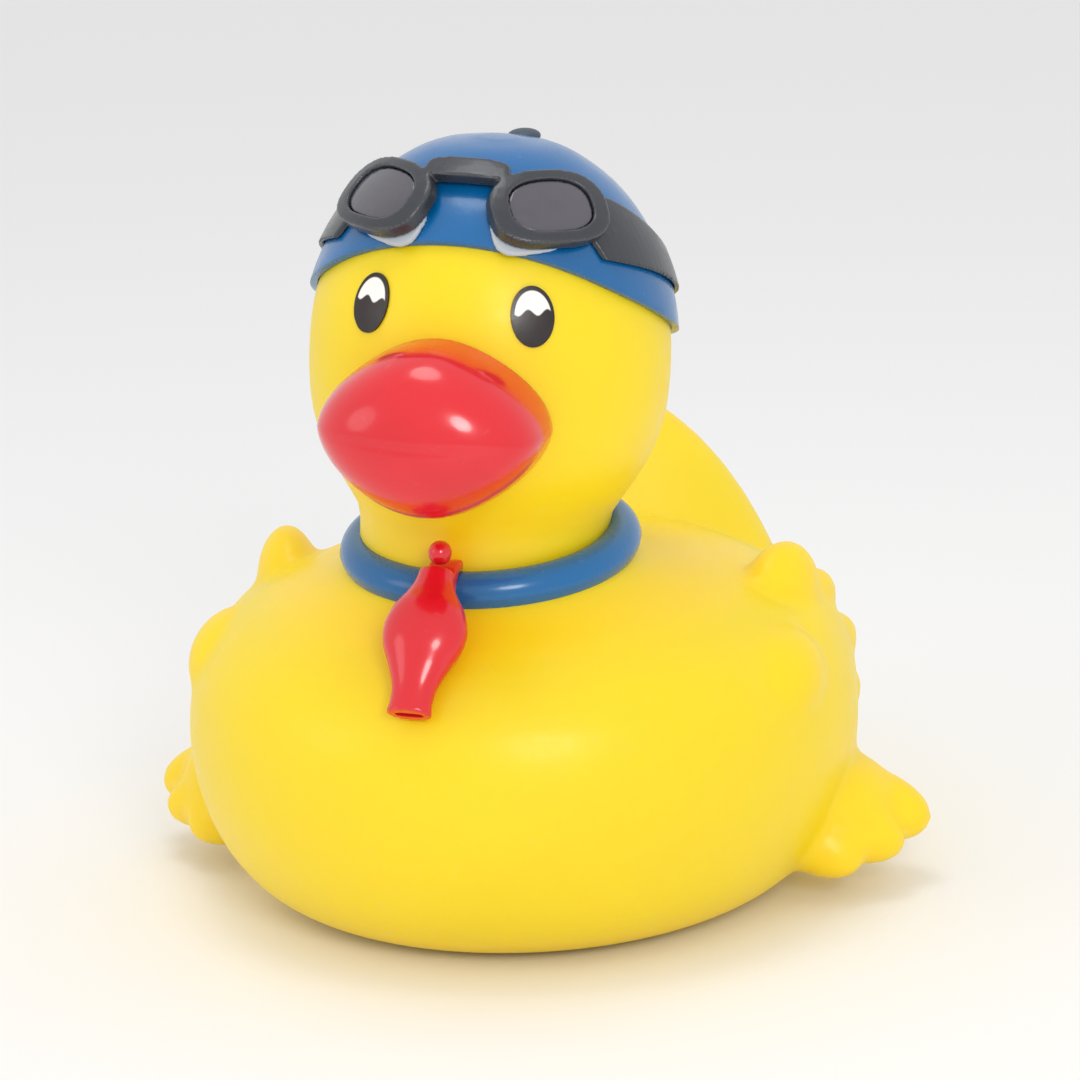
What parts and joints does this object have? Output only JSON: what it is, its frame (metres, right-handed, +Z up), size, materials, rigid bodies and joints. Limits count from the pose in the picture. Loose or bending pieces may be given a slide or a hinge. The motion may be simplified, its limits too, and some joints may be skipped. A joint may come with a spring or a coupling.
{
  "type": "floating chlorine dispenser",
  "caption": "Duck-shaped floating pool dispenser with swim cap, goggles and whistle; a screwed-in canister under the belly holds tablets behind a vented screw cap.",
  "frame": {"origin": "middle of the belly's flat resting ring, on the canister's axis at the floor", "axes": "+Z up along the canister's axis, -Y towards the beak, X across the duck"},
  "size_m": [0.288, 0.274, 0.2748],
  "materials": {
    "vinyl_yellow": "satin moulded vinyl",
    "cap_blue": "glossy blue",
    "goggle_black": "glossy black",
    "lens_smoke": "dark lens",
    "pad_grey": "soft grey",
    "beak_red": "glossy red",
    "eye_paint": "glossy dark paint",
    "canister_white": "moulded white",
    "seal_black": "black rubber",
    "screw_steel": "stainless",
    "ballast_iron": "cast"
  },
  "bodies": {
    "duck": {"body_shell": "vinyl_yellow", "head_shell": "vinyl_yellow", "neck_seal": "seal_black", "swim_cap": "cap_blue", "cap_plug": "goggle_black", "beak": "beak_red", "eye_left": "eye_paint", "eye_right": "eye_paint", "goggle_frame": "goggle_black", "goggle_lens_left": "lens_smoke", "goggle_lens_right": "lens_smoke", "goggle_pad_left": "pad_grey", "goggle_pad_right": "pad_grey", "goggle_strap": "goggle_black", "neck_cord": "cap_blue", "tablet_canister": "canister_white", "belly_gasket": "seal_black", "flange_screw_1": "screw_steel", "flange_screw_2": "screw_steel", "flange_screw_3": "screw_steel", "flange_screw_4": "screw_steel", "flange_screw_5": "screw_steel", "flange_screw_6": "screw_steel", "ballast_left": "ballast_iron", "ballast_right": "ballast_iron"},
    "whistle": {"whistle": "beak_red"},
    "cap_carrier": {"cap_seal": "seal_black"},
    "cap": {"refill_cap": "canister_white", "dial_rivet": "canister_white", "tablet_grid": "canister_white"},
    "dial": {"vent_dial": "cap_blue"},
    "lock": {"cap_lock": "beak_red"}
  },
  "joints": [
    {"name": "cap_lower", "type": "slide", "parent": "duck", "child": "cap_carrier", "axis": [0, 0, -1], "range_m": [0, 0.0161]},
    {"name": "cap_unscrew", "type": "hinge", "parent": "cap_carrier", "child": "cap", "pos_m": [0, 0, 0.005], "axis": [0, 0, -1], "range_deg": [0, 720]},
    {"name": "vent_turn", "type": "hinge", "parent": "cap", "child": "dial", "pos_m": [0, 0, 0.0026], "axis": [0, 0, 1], "range_deg": [0, 60]},
    {"name": "lock_slide", "type": "slide", "parent": "duck", "child": "lock", "axis": [0, -1, 0], "range_m": [0, 0.0022]},
    {"name": "whistle_swing", "type": "hinge", "parent": "duck", "child": "whistle", "pos_m": [-0.003, -0.08562, 0.12663], "axis": [-1, 0, 0], "range_deg": [0, 50]}
  ],
  "couplings": [
    {"joint": "cap_lower", "follows": "cap_unscrew", "m_per_rad": 0.0012732}
  ]
}
